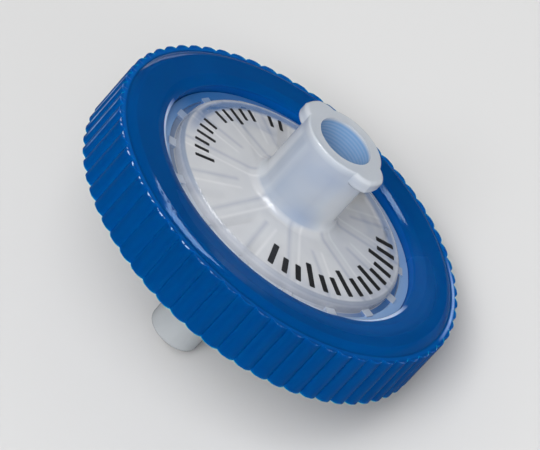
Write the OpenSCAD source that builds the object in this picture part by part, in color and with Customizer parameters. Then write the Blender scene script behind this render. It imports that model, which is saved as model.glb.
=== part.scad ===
// Disc syringe filter of the 25 mm class, lying on its side the way it comes to rest.
// Two translucent housing halves are welded at their rims and clamp a round membrane between them.
// A ring with grip flutes is moulded over the rims. The inlet hub is a female Luer lock with two lugs,
// the outlet stem is a male Luer slip tip.
// Lengths are in millimetres. Each sub-part is drawn on the filter's own axis, where height 0 is the
// weld plane of the halves and the inlet points up. One transform at the end lays the filter down.

/* [Ring] */

// Diameter over the crests of the grip flutes
ring_diameter = 29; // [27:0.1:36]
// Height of the ring between its two flat faces
ring_height = 5.2; // [4.8:0.1:7]
// Diameter of the round window in each face of the ring
window_diameter = 21.3; // [17:0.1:26]
// Number of grip flutes
flute_count = 64; // [52:4:80]
// Height of the ledge that each row of flute ends leaves below the flat face
flute_ledge = 0.35; // [0.25:0.05:0.6]
// Thickness of the ring from the housing rim to the crests
ring_wall = 1.9; // [1.5:0.1:2.6]

/* [Housing] */

// Height of the two welded rims together
rim_height = 2.94; // [2.6:0.02:3.2]
// Diameter of the raised disc in the middle of each half
disc_diameter = 18.8; // [14:0.1:22]
// Rise of the raised disc above the rim, at the edge of the disc
disc_rise = 0.94; // [0.7:0.01:1.2]
// Further rise of the disc from its edge to the middle
disc_cone = 0.52; // [0.2:0.02:0.8]
// Number of radial ribs in each half, long and short ones in turn
rib_count = 16; // [8:2:20]
// Width of one rib
rib_width = 0.8; // [0.5:0.05:1]
// Height of the ribs, which is the depth of the flow space beside the membrane
rib_height = 1.05; // [0.8:0.05:1.2]

/* [Membrane] */

// Diameter of the membrane
membrane_diameter = 21.8; // [21.4:0.1:22.4]
// Thickness of the membrane
membrane_thickness = 0.16; // [0.1:0.01:0.3]

/* [Inlet] */

// Height of the inlet rim above the weld plane
inlet_height = 8.69; // [7.2:0.01:11]
// Outside diameter of the inlet hub
inlet_diameter = 6.2; // [5.8:0.05:6.6]
// Bore of the Luer socket at its mouth
socket_mouth = 4.27; // [4.2:0.01:4.35]
// Depth of the Luer socket
socket_depth = 7; // [6:0.1:7.5]
// Span over the two lugs
lug_span = 7.7; // [7.5:0.05:8]
// Height of one lug along the axis
lug_height = 1.13; // [0.8:0.01:1.4]
// Turn of the lugs about the axis, in degrees
lug_turn = 114.4; // [0:0.1:180]

/* [Outlet] */

// Distance of the outlet tip from the weld plane
outlet_length = 12.05; // [10:0.05:15]
// Outside diameter of the slip tip at its end
tip_diameter = 3.95; // [3.9:0.01:4]
// Length of the tapered slip fit
taper_length = 7.6; // [7.5:0.05:8]
// Bore of the outlet
outlet_bore = 1.9; // [1.2:0.1:2.2]

/* [Hidden] */

$fn = 96;
// A Luer fit narrows by 6 % of its length on the diameter
luer_slope = 0.03;

// Ring
crest_r = ring_diameter / 2;
face_h = ring_height / 2;
flute_h = face_h - flute_ledge;
rim_r = crest_r - ring_wall;
rim_h = min(rim_height / 2, face_h - 0.8);
// The lip keeps hold of the rim, and the window stays wide enough for the disc inside it
window_r = min(window_diameter / 2, rim_r - 1.2);
// Each crest is a round bar. Neighbouring bars cross where the valley between two crests lies
bar_r = 0.66 * 2 * PI * crest_r / flute_count;
bar_at = crest_r - bar_r;
valley_r = bar_at * cos(180 / flute_count) + sqrt(pow(bar_r, 2) - pow(bar_at * sin(180 / flute_count), 2));
flute_round = 0.06;
// The rounding of the flute ends stands a hair outside the crests, so that it crosses them cleanly
flute_proud = 0.004;
shoulder_r = 1.1;
shoulder_in = 0.25;
shoulder_h = face_h - sqrt(pow(shoulder_r, 2) - pow(shoulder_in, 2));
shoulder_at = valley_r - 0.07 - shoulder_r;
bevel_r = 2.2;
bevel_at = window_r + 1.1;
bevel_in = 0.25;
bevel_h = face_h - sqrt(pow(bevel_r, 2) - pow(bevel_in, 2));
lip_round = 0.15;
lip_at = window_r + lip_round;
// The lip's circle stands a hair proud of the bevel's, so that the two cross cleanly instead of touching
lip_proud = 0.004;
lip_h = bevel_h + sqrt(pow(bevel_r - lip_round + lip_proud, 2) - pow(bevel_at - lip_at, 2));
lip_turn = atan2(lip_h - bevel_h, lip_at - bevel_at);

// Housing halves
disc_r = min(disc_diameter / 2, window_r - 1.2);
disc_h = rim_h + disc_rise;
disc_slope = disc_cone / disc_r;
disc_round = 0.35;
band_in = disc_r + 0.45;
band_out = window_r - 0.05;
band_h = rim_h + 0.18;
groove_h = rim_h;
ledge_r = disc_r + 0.5;
membrane_r = max(min(membrane_diameter / 2, rim_r - 1), ledge_r + 0.5);
pocket_h = membrane_thickness / 2;
pocket_r = membrane_r + 0.05;
// The plate stays 0.3 thick above the flow space, also where the groove is
under_h = min(pocket_h + rib_height, groove_h - 0.3);
rib_long = 2.5;
rib_short = 5;
rib_turn = 23.4;
tab_out = band_in + 0.15;
tab_h = band_h + 0.12;
function disc_top(r) = disc_h + (disc_r - r) * disc_slope;
slope_turn = atan(disc_slope);

// Inlet hub
hub_r = inlet_diameter / 2;
hub_fillet = 1;
mouth_r = socket_mouth / 2;
floor_h = max(inlet_height - socket_depth, under_h + 0.45);
floor_r = mouth_r - luer_slope * (inlet_height - floor_h);
port_r = 1.1;
lug_r = lug_span / 2;
lug_bar = 1.65;
lug_at = 2.3;
lug_round = 0.3;
lug_top = inlet_height;

// Outlet stem
tip_r = tip_diameter / 2;
tip_round = 0.3;
bore_r = outlet_bore / 2;
// The collar always stands out of the disc, and a short stem takes that out of its taper
collar_h = max(outlet_length - taper_length, disc_top(0) + 0.8);
stem_r = tip_r + luer_slope * (outlet_length - collar_h);
collar_r = stem_r + 0.65;
collar_fillet = 0.8;

// At rest the filter leans over until the lowest two crests of the ring and the outlet tip touch the table.
// Both touch with a rounded edge, so the lean is the slope of the common tangent of two circles.
// A valley faces the table, which puts the two lowest crests half a pitch to each side of it
low_r = (crest_r + flute_proud - flute_round) * cos(180 / flute_count);
low_h = -(flute_h - flute_round);
end_r = tip_r - tip_round;
end_h = -(outlet_length - tip_round);
apart = sqrt(pow(low_r - end_r, 2) + pow(low_h - end_h, 2));
lean = atan2(low_h - end_h, low_r - end_r) - asin((flute_round - tip_round) / apart);
lift = end_r * sin(lean) - end_h * cos(lean) + tip_round;

// Waste around a circle, between two directions: what is cut away to leave a rounded edge
module edge_waste(r, at, h, from, to) {
  far = 4 * r;
  mid = (from + to) / 2;
  translate([at, h])
    difference() {
      polygon([
        [0, 0],
        [far * cos(from), far * sin(from)],
        [2 * far * cos(mid), 2 * far * sin(mid)],
        [far * cos(to), far * sin(to)]
      ]);
      circle(r = r);
    }
}

// Concave fillet between an upright wall at wall_r and the cone of the disc
module base_fillet(wall_r, r) {
  at = wall_r + r;
  h = disc_top(at) + r / cos(slope_turn);
  foot_r = at - r * sin(slope_turn);
  foot_h = h - r * cos(slope_turn);
  difference() {
    polygon([
      [wall_r - 0.3, h],
      [at, h],
      [foot_r, foot_h],
      [foot_r, foot_h - 0.3],
      [wall_r - 0.3, foot_h - 0.3]
    ]);
    translate([at, h]) circle(r = r);
  }
}

// Half section shared by both halves: raised disc, groove, flat band, rim and the seat of the membrane
module plate_section() {
  difference() {
    polygon([
      [0, under_h],
      [ledge_r, under_h],
      [ledge_r, pocket_h],
      [pocket_r, pocket_h],
      [pocket_r, 0],
      [rim_r, 0],
      [rim_r, rim_h],
      [band_out, rim_h],
      [band_out, band_h],
      [band_in, band_h],
      [band_in, groove_h],
      [disc_r, groove_h],
      [disc_r, disc_h],
      [0, disc_top(0)]
    ]);
    edge_waste(
      disc_round,
      disc_r - disc_round,
      disc_top(disc_r - disc_round) - disc_round / cos(slope_turn),
      0,
      90 - slope_turn
    );
    edge_waste(0.1, band_in + 0.1, band_h - 0.1, 90, 180);
  }
}

module inlet_section() {
  difference() {
    union() {
      plate_section();
      translate([0, under_h]) square([hub_r, inlet_height - under_h]);
      base_fillet(hub_r, hub_fillet);
    }
    edge_waste(0.15, hub_r - 0.15, inlet_height - 0.15, 0, 90);
    polygon([
      [-1, floor_h],
      [floor_r, floor_h],
      [mouth_r, inlet_height],
      [mouth_r + 0.1, inlet_height + 0.1],
      [-1, inlet_height + 0.1]
    ]);
    translate([-1, 0]) square([1 + port_r, floor_h + 0.1]);
  }
}

module outlet_section() {
  difference() {
    union() {
      plate_section();
      difference() {
        polygon([
          [0, under_h],
          [collar_r, under_h],
          [collar_r, collar_h],
          [stem_r, collar_h],
          [tip_r, outlet_length],
          [0, outlet_length]
        ]);
        edge_waste(0.2, collar_r - 0.2, collar_h - 0.2, 0, 90);
        edge_waste(tip_round, tip_r - tip_round, outlet_length - tip_round, 0, 90);
      }
      base_fillet(collar_r, collar_fillet);
    }
    translate([-1, 0]) square([1 + bore_r, outlet_length + 1]);
  }
}

// Radial ribs under the plate that hold the membrane off it, and the tabs that bridge the groove above them
module ribs() {
  for (i = [0:rib_count - 1]) {
    start = i % 2 == 0 ? rib_long : rib_short;
    rotate([0, 0, rib_turn + i * 360 / rib_count])
      translate([0, 0, pocket_h]) {
        translate([start, -rib_width / 2, 0]) cube([ledge_r + 0.2 - start, rib_width, under_h - pocket_h + 0.15]);
        translate([start, 0, 0]) cylinder(r = rib_width / 2, h = under_h - pocket_h + 0.15, $fn = 24);
      }
  }
}

module tabs() {
  translate([0, 0, rim_h - 0.2])
    linear_extrude(height = tab_h - rim_h + 0.2)
      intersection() {
        for (i = [0:rib_count - 1]) {
          rotate(rib_turn + i * 360 / rib_count)
            translate([disc_r - 0.2, -rib_width / 2])
              square([tab_out, rib_width]);
        }
        difference() {
          circle(r = tab_out);
          circle(r = disc_r - 0.1);
        }
      }
}

// One lug: a bar with rounded edges, trimmed by the lug circle, which is rounded the same way
module lug() {
  intersection() {
    translate([0, 0, lug_top - lug_height]) {
      translate([lug_at, 0, 0]) rounded_disc(lug_bar, lug_height, lug_round);
    }
    translate([0, 0, lug_top - lug_height]) rounded_disc(lug_r, lug_height, lug_round);
    translate([hub_r - 0.6, -lug_bar, 0]) cube([lug_r, 2 * lug_bar, inlet_height + 1]);
  }
}

module rounded_disc(r, h, round) {
  rotate_extrude()
    difference() {
      square([r, h]);
      edge_waste(round, r - round, h - round, 0, 90);
      edge_waste(round, r - round, round, -90, 0);
    }
}

module inlet_housing() {
  color([0.78, 0.80, 0.84, 0.55]) {
    rotate_extrude() inlet_section();
    ribs();
    tabs();
    for (side = [0, 180]) {
      rotate([0, 0, lug_turn + side]) lug();
    }
  }
}

module outlet_housing() {
  color([0.78, 0.80, 0.84, 0.55])
    mirror([0, 0, 1]) {
      rotate_extrude() outlet_section();
      ribs();
      tabs();
    }
}

module membrane() {
  color([0.95, 0.95, 0.94])
    translate([0, 0, -membrane_thickness / 2])
      cylinder(r = membrane_r, h = membrane_thickness);
}

// What is cut off the upper side of the ring's section: shoulder, bevel around the window, and its lip
module ring_edge_waste() {
  edge_waste(shoulder_r, shoulder_at, shoulder_h, 0, 90 - asin(shoulder_in / shoulder_r));
  difference() {
    translate([window_r - 1, lip_h]) square([bevel_at - bevel_in - window_r + 1, 1]);
    translate([bevel_at, bevel_h]) circle(r = bevel_r);
  }
  edge_waste(lip_round, lip_at, lip_h, lip_turn, 180);
}

// C section of the ring, which closes over both rims
module ring_section() {
  difference() {
    polygon([
      [rim_r, -rim_h],
      [rim_r, rim_h],
      [window_r, rim_h],
      [window_r, face_h],
      [shoulder_at + shoulder_r, face_h],
      [shoulder_at + shoulder_r, -face_h],
      [window_r, -face_h],
      [window_r, -rim_h]
    ]);
    ring_edge_waste();
    mirror([0, 1]) ring_edge_waste();
  }
}

// Row of round bars side by side, rounded off at both ends
module flutes() {
  intersection() {
    translate([0, 0, -flute_h])
      linear_extrude(height = 2 * flute_h)
        difference() {
          union() {
            circle(r = bar_at);
            for (i = [0:flute_count - 1]) {
              rotate((i + 0.5) * 360 / flute_count)
                translate([bar_at, 0])
                  circle(r = bar_r, $fn = 32);
            }
          }
          circle(r = rim_r + 0.5);
        }
    translate([0, 0, -flute_h]) rounded_disc(crest_r + flute_proud, 2 * flute_h, flute_round);
  }
}

module overmould_ring() {
  color([0, 0.26, 0.5]) {
    rotate_extrude() ring_section();
    flutes();
  }
}

// Lays the filter down: the ring's low edge is in front, at +X, and the outlet tip behind it, at -X.
// The ring is the widest part both ways, so the frame's origin lies straight below its centre
module at_rest() {
  translate([0, 0, lift])
    rotate([0, lean, 0])
      children();
}

at_rest() inlet_housing();
at_rest() outlet_housing();
at_rest() membrane();
at_rest() overmould_ring();
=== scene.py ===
import math

import bmesh
import bpy
from mathutils import Matrix, Vector


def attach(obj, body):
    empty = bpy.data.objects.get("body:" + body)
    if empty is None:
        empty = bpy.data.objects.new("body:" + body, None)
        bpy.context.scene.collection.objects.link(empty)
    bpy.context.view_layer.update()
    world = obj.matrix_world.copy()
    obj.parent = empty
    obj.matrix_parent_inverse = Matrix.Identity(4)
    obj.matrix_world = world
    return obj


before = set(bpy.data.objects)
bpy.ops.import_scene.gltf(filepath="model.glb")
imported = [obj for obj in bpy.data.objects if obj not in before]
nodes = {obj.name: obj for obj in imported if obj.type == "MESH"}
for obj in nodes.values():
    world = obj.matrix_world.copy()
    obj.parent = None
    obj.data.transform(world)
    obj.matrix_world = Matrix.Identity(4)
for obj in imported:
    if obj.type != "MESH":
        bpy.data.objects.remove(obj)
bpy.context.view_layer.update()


MM = 0.001
# The filter's own axis in the row frame: it leans towards +X, and the centre of the weld plane lies
# straight above the origin
LEAN = math.radians(37.7221)
LIFT = 10.6189 * MM
AXIS = Matrix.Translation((0, 0, LIFT)) @ Matrix.Rotation(LEAN, 4, "Y")

# Sizes in millimetres on the own axis. Heights count from the weld plane, radii from the axis
DISC_R = 9.4
DISC_H = 2.41
DISC_SLOPE = 0.52 / DISC_R
DISC_EDGE_R = 9.42
GROOVE_R = 9.84
TAB_H = 1.70
HUB_R = 3.99
HUB_H = 3.0
MOUTH_H = 8.5
SOCKET_R = 2.2
WINDOW_R = 10.5
FLANK_R = 14.05
VALLEY_R = 14.0
CREST_R = 14.2
FLUTES = 64
# There are as many long ribs as short ones, and each short one stands midway between two long ones
RIBS = 8
RIB_TURN = 23.4

# The printed scale
TICKS = 15
TICK_INNER = 7.2
INK_DEPTH = 0.012
INK_LIFT = 0.010

# The camera's turn and rise, its own directions, and the point that the softboxes are aimed at
TURN, RISE = math.radians(-17.385), math.radians(50.75)
AHEAD = Vector((-math.sin(TURN) * math.cos(RISE), math.cos(TURN) * math.cos(RISE), -math.sin(RISE)))
RIGHT = Vector((math.cos(TURN), math.sin(TURN), 0))
UP = RIGHT.cross(AHEAD)
LIT_POINT = Vector((0, 0, 0.011))


def srgb(r, g, b):
    def one(v):
        v /= 255
        return v / 12.92 if v <= 0.04045 else ((v + 0.055) / 1.055) ** 2.4
    return one(r), one(g), one(b), 1.0


# ---- node helpers ------------------------------------------------------------------------------------
class Material:
    """A material, and short words for the nodes behind its Principled shader."""

    def __init__(self, name):
        self.mat = bpy.data.materials.new(name)
        self.mat.use_nodes = True
        self.tree = self.mat.node_tree
        self.shader = self.tree.nodes["Principled BSDF"]

    def node(self, kind, **props):
        made = self.tree.nodes.new(kind)
        for key, value in props.items():
            setattr(made, key, value)
        return made

    def put(self, socket, value):
        """Links a socket to another one, or sets it to a plain value."""
        if isinstance(value, bpy.types.NodeSocket):
            self.tree.links.new(value, socket)
        else:
            socket.default_value = value

    def shade(self, **values):
        """Sets inputs of the shader, with an underscore for each space in their names."""
        for key, value in values.items():
            self.put(self.shader.inputs[key.replace("_", " ")], value)

    def math(self, op, a, b=0.0, clamp=False):
        made = self.node("ShaderNodeMath", operation=op, use_clamp=clamp)
        self.put(made.inputs[0], a)
        self.put(made.inputs[1], b)
        return made.outputs[0]

    def mix(self, share, a, b, blend="MIX"):
        """A colour: a where share is 0, b where it is 1."""
        made = self.node("ShaderNodeMix", data_type="RGBA", blend_type=blend)
        for index, value in ((0, share), (6, a), (7, b)):
            self.put(made.inputs[index], value)
        return made.outputs[2]

    def mix_numbers(self, share, a, b):
        made = self.node("ShaderNodeMix", data_type="FLOAT")
        for index, value in ((0, share), (2, a), (3, b)):
            self.put(made.inputs[index], value)
        return made.outputs[0]

    def rescale(self, value, from_low, from_high, to_low=0.0, to_high=1.0):
        made = self.node("ShaderNodeMapRange")
        self.put(made.inputs["Value"], value)
        made.inputs["From Min"].default_value = from_low
        made.inputs["From Max"].default_value = from_high
        made.inputs["To Min"].default_value = to_low
        made.inputs["To Max"].default_value = to_high
        return made.outputs[0]


class Finish(Material):
    """
    A material of the filter, laid out on the filter's own axis in millimetres.
    It knows each point's x, y and height h, its distance r from the axis and its angle around it.
    """

    def __init__(self, name):
        super().__init__(name)
        turned = self.node("ShaderNodeMapping", vector_type="TEXTURE")
        turned.inputs["Location"].default_value = (0, 0, LIFT)
        turned.inputs["Rotation"].default_value = (0, LEAN, 0)
        turned.inputs["Scale"].default_value = (MM, MM, MM)
        self.put(turned.inputs["Vector"], self.node("ShaderNodeTexCoord").outputs["Object"])
        self.point = turned.outputs["Vector"]
        parts = self.node("ShaderNodeSeparateXYZ")
        self.put(parts.inputs[0], self.point)
        self.x, self.y, self.h = parts.outputs
        squares = self.math("ADD", self.product(self.x, self.x), self.product(self.y, self.y))
        self.r = self.math("SQRT", squares)
        self.around = self.math("ARCTAN2", self.y, self.x)

    def product(self, first, *others):
        for other in others:
            first = self.math("MULTIPLY", first, other)
        return first

    def above(self, value, low, soft):
        """1 where value is above low, with a soft edge."""
        return self.math("DIVIDE", self.math("SUBTRACT", value, low - soft), 2 * soft, clamp=True)

    def below(self, value, high, soft):
        """1 where value is below high, with a soft edge."""
        return self.math("DIVIDE", self.math("SUBTRACT", high + soft, value), 2 * soft, clamp=True)

    def between(self, value, low, high, soft):
        """1 where value lies between low and high, with soft edges."""
        return self.product(self.above(value, low, soft), self.below(value, high, soft))

    def cosine(self, turn):
        """The cosine of the angle from a turn about the axis, in degrees."""
        return self.math("COSINE", self.math("SUBTRACT", self.around, math.radians(turn)))

    def facing(self, turn, reach, soft):
        """1 on the side of a turn about the axis, as far as its cosine stays above reach."""
        return self.above(self.cosine(turn), reach, soft)

    def sector(self, turn, count):
        """The angle from the middle of the nearest of count equal sectors, of which one is at turn."""
        half = math.pi / count
        off = self.math("WRAP", self.math("SUBTRACT", self.around, math.radians(turn)), half)
        off.node.inputs[2].default_value = -half
        return off

    def noise(self, scale, detail):
        made = self.node("ShaderNodeTexNoise")
        made.inputs["Scale"].default_value = scale
        made.inputs["Detail"].default_value = detail
        self.put(made.inputs["Vector"], self.point)
        return made.outputs["Fac"]

    def spread(self, scale, detail, low, high):
        """A noise that runs from low to high."""
        return self.rescale(self.noise(scale, detail), 0.3, 0.7, low, high)

    def bump(self, height, strength, distance):
        made = self.node("ShaderNodeBump")
        made.inputs["Strength"].default_value = strength
        made.inputs["Distance"].default_value = distance
        self.put(made.inputs["Height"], height)
        self.shade(Normal=made.outputs[0])


def paint(node, finish):
    mesh = nodes[node].data
    mesh.materials.clear()
    mesh.materials.append(finish.mat)


# ---- finishes ----------------------------------------------------------------------------------------
def blue_ring():
    f = Finish("blue_ring")
    h, r = f.h, f.r
    side = f.math("ABSOLUTE", h)
    flank = f.above(r, FLANK_R, 0.05)
    body = f.mix(f.spread(0.12, 2, 0, 1), srgb(0, 66, 127), srgb(0, 72, 137))

    # The valleys between the flutes are painted brighter than the crests, as painted light for the light
    # that the plastic lets through.
    # They are less bright on the near side, where the whole flank is darkened with painted shade
    near = f.facing(-98, 0.4, 0.3)
    lit = f.mix_numbers(near, 1.0, 0.55)
    valley = f.product(f.between(r, VALLEY_R, 14.32, 0.1), lit)
    crease = f.product(f.between(r, VALLEY_R, 14.235, 0.03), lit)
    body = f.mix(valley, body, srgb(0, 82, 154))
    body = f.mix(crease, body, srgb(2, 88, 164))
    body = f.mix(f.product(near, flank), body, (1, 0.91, 0.91, 1), blend="MULTIPLY")

    # The wall of each window is painted brighter too, as painted light against its shade
    wall = f.product(f.between(r, WINDOW_R, 10.68, 0.02), f.between(side, 1.3, 2.2, 0.06))
    body = f.mix(wall, body, srgb(0, 84, 162))
    # and the thin lip around it has a painted highlight, pale on three stretches
    lip_top = f.above(side, 2.16, 0.03)
    for turn, reach, outer in ((-202, 0.965, 10.9), (-67, 0.965, 10.9), (-136, 0.74, 10.82)):
        lip = f.product(f.between(r, WINDOW_R, outer, 0.02), lip_top, f.facing(turn, reach, 0.03))
        body = f.mix(lip, body, srgb(190, 208, 242))

    # Painted highlights: one stretch of the shoulder is painted pale as a highlight,
    shoulder = f.product(f.between(r, 14.02, 14.2, 0.05), f.above(h, 1.9, 0.03))
    shoulder_highlight = f.product(shoulder, f.facing(-27, 0.96, 0.03), 0.8)
    body = f.mix(shoulder_highlight, body, srgb(150, 180, 230))
    # the sharp ends of the flutes have painted glints in small spots, most on one side,
    ends = f.product(f.between(h, 2.2, 2.4, 0.012), f.above(r, 14.39, 0.03))
    end_glints = f.above(f.noise(3.2, 2), 0.54, 0.04)
    often = f.mix_numbers(f.facing(-168, 0.9, 0.08), 0.08, 0.8)
    body = f.mix(f.product(ends, end_glints, often), body, srgb(176, 200, 236))
    # and a few flutes on the far side have painted highlights along their crests
    crest = f.between(f.product(f.sector(0, FLUTES), CREST_R), -0.62, -0.5, 0.05)
    crest_sheen = f.product(f.facing(141, 0.95, 0.04), f.spread(0.5, 1, 0.3, 1), f.between(h, -1.6, 1.95, 0.4))
    body = f.mix(f.product(crest, crest_sheen, flank), body, srgb(146, 184, 236))

    # The moulding is glossy, and duller on one half of the slope down to each window
    dull = f.product(f.between(r, 10, 12.3, 0.5), f.below(f.y, -3, 3), 0.5)
    rough = f.math("ADD", f.spread(0.5, 3, 0.06, 0.1), dull)
    f.bump(f.noise(0.9, 3), 0.06, 0.02 * MM)
    f.shade(Base_Color=body, Roughness=rough)
    f.shade(Specular_IOR_Level=0.22, Specular_Tint=(0.4, 0.65, 1, 1))
    f.shade(Subsurface_Weight=1.0, Subsurface_Radius=(0.5, 0.8, 1.0), Subsurface_Scale=1.0 * MM)
    return f


def clear_housing():
    f = Finish("clear_housing")
    h, r = f.h, f.r
    side = f.math("ABSOLUTE", h)
    disc = f.mix(f.spread(0.35, 3, 0, 1), srgb(220, 222, 227), srgb(230, 232, 235))

    # The radial ribs underneath show through the disc, each drawn with a painted highlight along one edge
    # and painted shade along the other
    for turn, inner in ((RIB_TURN, 2.5), (RIB_TURN + 180 / RIBS, 5.0)):
        across = f.product(r, f.math("SINE", f.sector(turn, RIBS)))
        along = f.between(r, inner, 9.3, 0.15)
        bright = f.product(along, f.between(across, 0.3, 0.48, 0.1), 0.9)
        dark = f.product(along, f.between(across, -0.6, -0.3, 0.16), 0.9)
        disc = f.mix(bright, disc, srgb(244, 245, 247))
        disc = f.mix(dark, disc, srgb(196, 201, 212))
    # and one side of it is darkened with painted shade
    disc = f.mix(f.facing(-34, 0.8, 0.12), disc, (0.84, 0.86, 0.9, 1), blend="MULTIPLY")

    # Between the disc and the blue ring, the ring's blue light seen through the plastic is painted in,
    # most on two opposite sides
    twice = f.product(f.math("SUBTRACT", f.around, math.radians(142.4)), 2.0)
    ring_light = f.math("ADD", f.product(f.math("COSINE", twice), 0.6), 0.5)
    ring_light = f.math("ADD", ring_light, f.spread(0.3, 2, -0.12, 0.12), clamp=True)
    groove = f.mix(ring_light, srgb(190, 198, 212), srgb(70, 112, 168))
    band = f.mix(ring_light, srgb(200, 205, 214), srgb(140, 176, 222))
    tabs = f.mix(ring_light, srgb(192, 198, 209), srgb(178, 188, 204))
    # and deepest on the far side, where this painted blue light also reaches inside the disc's edge
    far = f.facing(95, 0.72, 0.18)
    right = f.facing(8, 0.88, 0.08)
    disc_blue_light = f.math("ADD", f.product(far, 0.9), f.product(right, 0.7), clamp=True)
    disc = f.mix(f.product(f.between(r, 8.3, 9.02, 0.2), disc_blue_light), disc, srgb(60, 112, 172))
    band = f.mix(f.product(far, 0.9), band, srgb(28, 102, 170))
    tabs = f.mix(f.product(far, 0.7), tabs, srgb(100, 140, 190))
    # On the near side the disc's border is in shade, and on the left the groove is
    near = f.facing(-78, 0.78, 0.15)
    border = f.product(f.between(r, 8.3, 9.41, 0.5), near)
    disc = f.mix(border, disc, (0.84, 0.87, 0.93, 1), blend="MULTIPLY")
    left = f.facing(160, 0.88, 0.06)
    groove = f.mix(left, groove, srgb(120, 138, 166))
    # and so is the disc's wall on both sides
    wall = f.product(f.between(r, 9.12, 9.41, 0.06), f.between(side, 1.5, 2.6, 0.05))
    wall_blue = f.mix(near, srgb(188, 193, 203), srgb(150, 160, 178))
    wall_blue = f.mix(left, wall_blue, srgb(140, 156, 180))

    # From the disc outwards: its wall, the groove between the tabs, and the band that runs under the ring
    outside = f.above(r, DISC_EDGE_R, 0.02)
    low = f.below(side, TAB_H, 0.02)
    body = f.mix(outside, disc, tabs)
    body = f.mix(wall, body, wall_blue)
    body = f.mix(f.product(f.between(r, DISC_EDGE_R, GROOVE_R, 0.02), low), body, groove)
    body = f.mix(f.product(f.above(r, GROOVE_R + 0.02, 0.02), low), body, band)
    # with a painted highlight, a pale line along the foot of the wall
    foot_highlight = f.product(f.between(r, 9.2, 9.6, 0.06), f.between(side, 1.3, TAB_H, 0.04))
    foot_highlight = f.product(foot_highlight, f.facing(-136, 0.76, 0.1))
    body = f.mix(foot_highlight, body, srgb(232, 240, 252))

    # The hub is milkier, bluer towards its foot and lighter at its mouth
    hub = f.product(f.below(r, HUB_R, 0.05), f.above(side, HUB_H, 0.1))
    milk = f.mix(f.below(side, 6.0, 1.6), srgb(186, 190, 197), srgb(174, 180, 189))
    milk = f.mix(f.spread(0.28, 2, 0, 0.5), milk, srgb(152, 166, 188))
    milk = f.mix(f.above(h, 8.3, 0.2), milk, srgb(202, 207, 213))
    milk = f.mix(f.below(h, -2, 0.2), milk, srgb(188, 193, 197))
    # It is painted lighter towards both sides, with a dark streak of painted shade along one, and two blue
    # clouds painted for light seen through it
    shaft = f.between(h, 0, 8, 0.3)
    both_sides = f.above(f.math("ABSOLUTE", f.cosine(-48)), 0.65, 0.25)
    milk = f.mix(f.product(both_sides, shaft), milk, srgb(206, 211, 217))
    streak = f.product(f.facing(177, 0.99, 0.008), shaft, 0.7)
    milk = f.mix(streak, milk, srgb(160, 170, 186))
    for turn, height, share in ((-112, 3.4, 0.8), (-106, 7.3, 0.4)):
        level = f.between(h, height - 0.8, height + 0.8, 0.7)
        milk = f.mix(f.product(f.facing(turn, 0.93, 0.1), level, share), milk, srgb(144, 160, 186))
    body = f.mix(hub, body, milk)
    # Its socket is painted a light blue for the ring's light seen through the plastic, with the fine
    # turning marks of its core
    socket = f.product(f.below(r, SOCKET_R, 0.02), f.between(h, 1.6, MOUTH_H, 0.1))
    marks = f.product(f.math("ADD", f.math("SINE", f.product(h, 24.0)), 1.0), 0.5)
    body = f.mix(socket, body, f.mix(marks, srgb(118, 160, 203), srgb(138, 171, 208)))

    # The hub and the rim are thicker, so less shows through them than through the disc
    solid = f.mix_numbers(outside, f.mix_numbers(hub, 0.55, 0.75), 0.8)
    f.bump(f.noise(0.8, 3), 0.15, 0.03 * MM)
    f.shade(Base_Color=body, Alpha=solid, Roughness=f.spread(0.6, 3, 0.08, 0.16), Specular_IOR_Level=0.4)
    return f


def white_membrane():
    f = Finish("white_membrane")
    grain = f.spread(6, 4, 0, 1)
    f.bump(grain, 0.2, 0.01 * MM)
    f.shade(Base_Color=f.mix(grain, srgb(228, 229, 231), srgb(238, 239, 240)))
    f.shade(Roughness=f.spread(3, 2, 0.8, 0.95), Specular_IOR_Level=0.2)
    return f


def black_ink():
    f = Finish("black_ink")
    f.shade(Base_Color=f.mix(f.spread(2.5, 3, 0, 1), srgb(14, 15, 19), srgb(26, 27, 32)))
    f.shade(Roughness=f.spread(2, 3, 0.35, 0.55), Specular_IOR_Level=0.3)
    return f


paint("overmould_ring", blue_ring())
clear = clear_housing()
paint("inlet_housing", clear)
paint("outlet_housing", clear)
paint("membrane", white_membrane())


# ---- printed scale -----------------------------------------------------------------------------------
def add_tick(bm, angle, inner, outer, width):
    """One printed tick: a flat bar with softened corners, lying on the cone of the disc."""
    placed = set(bm.verts)
    made = bmesh.ops.create_cube(bm, size=1.0)["verts"]
    bmesh.ops.scale(bm, vec=(outer - inner, width, INK_DEPTH), verts=made)
    edges = {edge for vert in made for edge in vert.link_edges}
    upright = [edge for edge in edges if abs(edge.verts[0].co.z - edge.verts[1].co.z) > INK_DEPTH / 2]
    bmesh.ops.bevel(
        bm, geom=upright, offset=width * 0.16, offset_type="OFFSET",
        affect="EDGES", segments=2, profile=0.5, material=-1,
    )
    middle = (inner + outer) / 2
    height = DISC_H + (DISC_R - middle) * DISC_SLOPE + INK_LIFT
    place = (
        Matrix.Rotation(angle, 4, "Z")
        @ Matrix.Translation((middle, 0, height))
        @ Matrix.Rotation(math.atan(DISC_SLOPE), 4, "Y")
    )
    bmesh.ops.transform(bm, matrix=place, verts=[vert for vert in bm.verts if vert not in placed])


def add_arc(bm, first, step, long_inner, outer, width, gaps=()):
    """An arc of ticks, every third one long. The first angle and the step are in degrees."""
    for i in range(TICKS):
        if i in gaps:
            continue
        inner = long_inner if i % 3 == 0 else TICK_INNER
        add_tick(bm, math.radians(first + i * step), inner, outer, width)


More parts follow.
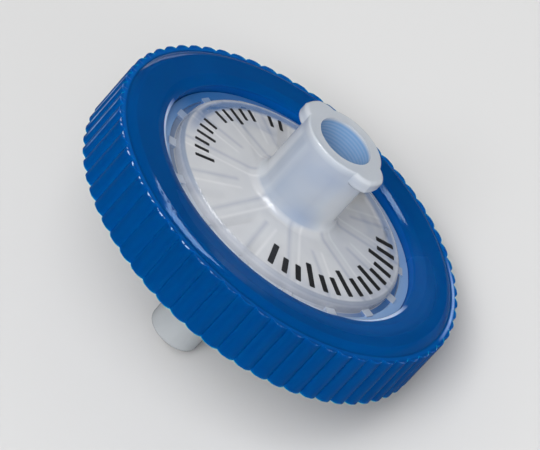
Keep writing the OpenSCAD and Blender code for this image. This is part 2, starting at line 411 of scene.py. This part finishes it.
def add_print():
    """Two arcs of generic ticks."""
    bm = bmesh.new()
    add_arc(bm, first=-124.5, step=110.0 / (TICKS - 1), long_inner=6.5, outer=8.75, width=0.46)
    add_arc(bm, first=-194, step=-6.4, long_inner=6.8, outer=8.35, width=0.3, gaps=(6, 12))
    bmesh.ops.transform(bm, matrix=AXIS @ Matrix.Scale(MM, 4), verts=bm.verts)
    bmesh.ops.recalc_face_normals(bm, faces=bm.faces)
    mesh = bpy.data.meshes.new("printed_scale")
    bm.to_mesh(mesh)
    bm.free()
    piece = bpy.data.objects.new("printed_scale", mesh)
    bpy.context.scene.collection.objects.link(piece)
    mesh.materials.append(black_ink().mat)
    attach(piece, "root")


add_print()


# ---- stage -------------------------------------------------------------------------------------------
def add_floor():
    bm = bmesh.new()
    bmesh.ops.create_grid(bm, x_segments=1, y_segments=1, size=1.5)
    mesh = bpy.data.meshes.new("floor")
    bm.to_mesh(mesh)
    bm.free()
    floor = bpy.data.objects.new("floor", mesh)
    bpy.context.scene.collection.objects.link(floor)
    # Reflections show the table grey beside the filter and darker further off, with a white card behind it
    f = Material("floor")
    place = f.node("ShaderNodeTexCoord").outputs["Object"]
    behind = (-0.15 * math.sin(TURN), 0.15 * math.cos(TURN), 0)
    table = srgb(45, 45, 45)
    for spot, inner, outer, grey in (((0, 0, 0), 0.07, 0.11, 92), (behind, 0.05, 0.08, 232)):
        away = f.node("ShaderNodeVectorMath", operation="DISTANCE")
        f.put(away.inputs[0], place)
        f.put(away.inputs[1], spot)
        fade = f.rescale(away.outputs["Value"], inner, outer)
        table = f.mix(fade, srgb(grey, grey, grey), table)
    mirrored = f.node("ShaderNodeLightPath").outputs["Is Glossy Ray"]
    f.shade(Base_Color=f.mix(mirrored, srgb(203, 203, 203), table), Roughness=1.0, Specular_IOR_Level=0.0)
    mesh.materials.append(f.mat)


def add_softbox(name, toward, away, size, radiance, mirrored):
    """
    A rectangular softbox in a direction given as right, up and back of the camera, its height along up.
    A mirrored one only shows as a reflection, any other one only gives light.
    """
    towards = (toward[0] * RIGHT + toward[1] * UP - toward[2] * AHEAD).normalized()
    light = bpy.data.lights.new(name, "AREA")
    light.shape = "RECTANGLE"
    light.size, light.size_y = size
    light.energy = 4 * radiance * size[0] * size[1]
    obj = bpy.data.objects.new(name, light)
    obj.location = LIT_POINT + towards * away
    obj.rotation_euler = towards.to_track_quat("Z", "Y").to_euler()
    obj.visible_glossy = mirrored
    obj.visible_diffuse = not mirrored
    bpy.context.scene.collection.objects.link(obj)


def add_world():
    """A plain white sky, dimmer in reflections."""
    world = bpy.data.worlds.new("studio")
    bpy.context.scene.world = world
    world.use_nodes = True
    tree = world.node_tree
    sky = tree.nodes["Background"]
    path = tree.nodes.new("ShaderNodeLightPath")
    level = tree.nodes.new("ShaderNodeMapRange")
    level.inputs["To Min"].default_value = 0.5
    level.inputs["To Max"].default_value = 0.06
    tree.links.new(path.outputs["Is Glossy Ray"], level.inputs["Value"])
    tree.links.new(level.outputs[0], sky.inputs["Strength"])
    sky.inputs["Color"].default_value = (1, 1, 1, 1)


def add_camera():
    """A long lens, aimed a little to the lower left of the middle of the inlet disc."""
    cam = bpy.data.cameras.new("camera")
    cam.sensor_width = 36
    cam.lens = 335.7
    cam.clip_start = 0.01
    obj = bpy.data.objects.new("camera", cam)
    bpy.context.scene.collection.objects.link(obj)
    bpy.context.scene.camera = obj
    aim = AXIS @ Vector((0, 0, 2.25 * MM)) - 1.464 * MM * RIGHT - 1.632 * MM * UP
    place = aim - 0.35 * AHEAD
    obj.matrix_world = Matrix((
        (RIGHT.x, UP.x, -AHEAD.x, place.x),
        (RIGHT.y, UP.y, -AHEAD.y, place.y),
        (RIGHT.z, UP.z, -AHEAD.z, place.z),
        (0, 0, 0, 1),
    ))


add_floor()
add_world()
add_softbox("front_softbox", (-0.15, 0.2, 0.97), away=0.8, size=(0.5, 0.5), radiance=6.1, mirrored=False)
add_softbox("fill_softbox", (0.45, -0.45, 0.77), away=0.8, size=(0.5, 0.5), radiance=1.3, mirrored=False)
add_softbox("top_softbox", (0.45, 0.88, 0.10), away=0.6, size=(0.08, 0.22), radiance=9.0, mirrored=True)
add_softbox("side_softbox", (0.31, 0.77, 0.55), away=0.6, size=(0.22, 0.34), radiance=12.0, mirrored=True)
add_camera()
bpy.context.scene.view_settings.view_transform = "Standard"
